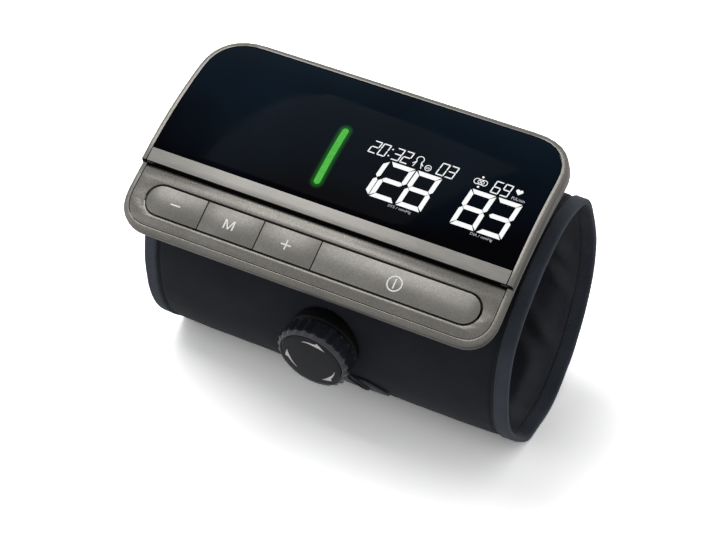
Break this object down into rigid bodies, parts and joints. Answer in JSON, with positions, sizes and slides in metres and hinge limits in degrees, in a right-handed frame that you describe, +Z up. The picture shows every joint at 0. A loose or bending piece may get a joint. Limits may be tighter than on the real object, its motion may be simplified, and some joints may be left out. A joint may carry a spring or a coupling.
{
  "type": "upper-arm blood pressure monitor",
  "caption": "Domed display housing with a row of flush keys, fixed on a round padded arm cuff that a turning knob tightens.",
  "frame": {"origin": "middle of the box round the part, on the surface the cuff stands on", "axes": "+X along the cuff and the long side of the housing, to the right of someone who reads the display; +Y to the back; +Z up"},
  "size_m": [0.15, 0.0954, 0.114],
  "materials": {
    "taupe_metallic": "satin metallic taupe-grey paint with a fine grain",
    "key_metallic": "satin metallic taupe-grey paint, like the panel round them",
    "brushed_strip": "brushed metallic paint",
    "black_window": "polished black, lit digits behind it",
    "circuit_board": "green solder mask",
    "inner_plastic": "plain moulded",
    "clear_plastic": "clear moulded",
    "battery_shell": "plain wrapped",
    "steel": "plain",
    "dark_rubber": "matt",
    "black_plastic": "satin moulded",
    "knob_plastic": "semi-gloss moulded",
    "sleeve_fabric": "smooth matt knit over padding",
    "lining_fabric": "matt knit, slightly creased",
    "binding_fabric": "matt blue-grey tape, stitched",
    "grey_tab": "matt tape"
  },
  "bodies": {
    "monitor": {"bezel_frame": "taupe_metallic", "lower_case": "taupe_metallic", "display_window": "black_window", "front_strip": "brushed_strip", "key_panel": "taupe_metallic", "key_mat": "dark_rubber", "key_board": "circuit_board", "main_board": "circuit_board", "display_module": "inner_plastic", "status_light_guide": "clear_plastic", "battery": "battery_shell", "charging_socket": "steel", "pump_motor": "steel", "pump_head": "inner_plastic", "exhaust_valve": "inner_plastic", "air_manifold": "dark_rubber", "sensor_tube": "dark_rubber", "pressure_sensor": "inner_plastic", "case_screw_1": "steel", "case_screw_2": "steel", "case_screw_3": "steel", "case_screw_4": "steel", "board_screw_1": "steel", "board_screw_2": "steel", "saddle_screw_1": "steel", "saddle_screw_2": "steel", "cuff_saddle": "black_plastic", "air_port": "inner_plastic", "outer_sleeve": "sleeve_fabric", "stiffener_shell": "black_plastic", "air_bladder": "dark_rubber", "inner_liner": "lining_fabric", "left_binding": "binding_fabric", "right_binding": "binding_fabric", "lace_tab": "grey_tab", "tension_lace": "sleeve_fabric", "knob_base": "black_plastic", "ratchet_ring": "inner_plastic"},
    "minus_button": {"minus_key": "key_metallic"},
    "memory_button": {"memory_key": "key_metallic"},
    "plus_button": {"plus_key": "key_metallic"},
    "start_button": {"start_key": "key_metallic"},
    "knob_carriage": {"knob_spindle": "steel", "knob_screw": "steel"},
    "knob": {"tightening_knob": "knob_plastic", "knob_cap": "knob_plastic", "pawl_disc": "inner_plastic"},
    "spool": {"lace_spool": "inner_plastic"}
  },
  "joints": [
    {"name": "minus_press", "type": "slide", "parent": "monitor", "child": "minus_button", "axis": [0, 0.5238, -0.8518], "range_m": [0, 0.0005], "stiffness_N_per_m": 1500, "springref_m": -0.0003},
    {"name": "memory_press", "type": "slide", "parent": "monitor", "child": "memory_button", "axis": [0, 0.5238, -0.8518], "range_m": [0, 0.0005], "stiffness_N_per_m": 1500, "springref_m": -0.0003},
    {"name": "plus_press", "type": "slide", "parent": "monitor", "child": "plus_button", "axis": [0, 0.5238, -0.8518], "range_m": [0, 0.0005], "stiffness_N_per_m": 1500, "springref_m": -0.0003},
    {"name": "start_press", "type": "slide", "parent": "monitor", "child": "start_button", "axis": [0, 0.5238, -0.8518], "range_m": [0, 0.0005], "stiffness_N_per_m": 1500, "springref_m": -0.0003},
    {"name": "knob_pull", "type": "slide", "parent": "monitor", "child": "knob_carriage", "axis": [0, -0.988, -0.1544], "range_m": [0, 0.002]},
    {"name": "knob_turn", "type": "hinge", "parent": "knob_carriage", "child": "knob", "pos_m": [0.0028, -0.02999, 0.04125], "axis": [0, -0.988, -0.1544], "range_deg": [-1080, 0]},
    {"name": "spool_turn", "type": "hinge", "parent": "monitor", "child": "spool", "pos_m": [0.0028, -0.02999, 0.04125], "axis": [0, -0.988, -0.1544], "range_deg": [-1080, 0]}
  ],
  "couplings": [
    {"joint": "spool_turn", "follows": "knob_turn", "ratio": 1}
  ]
}
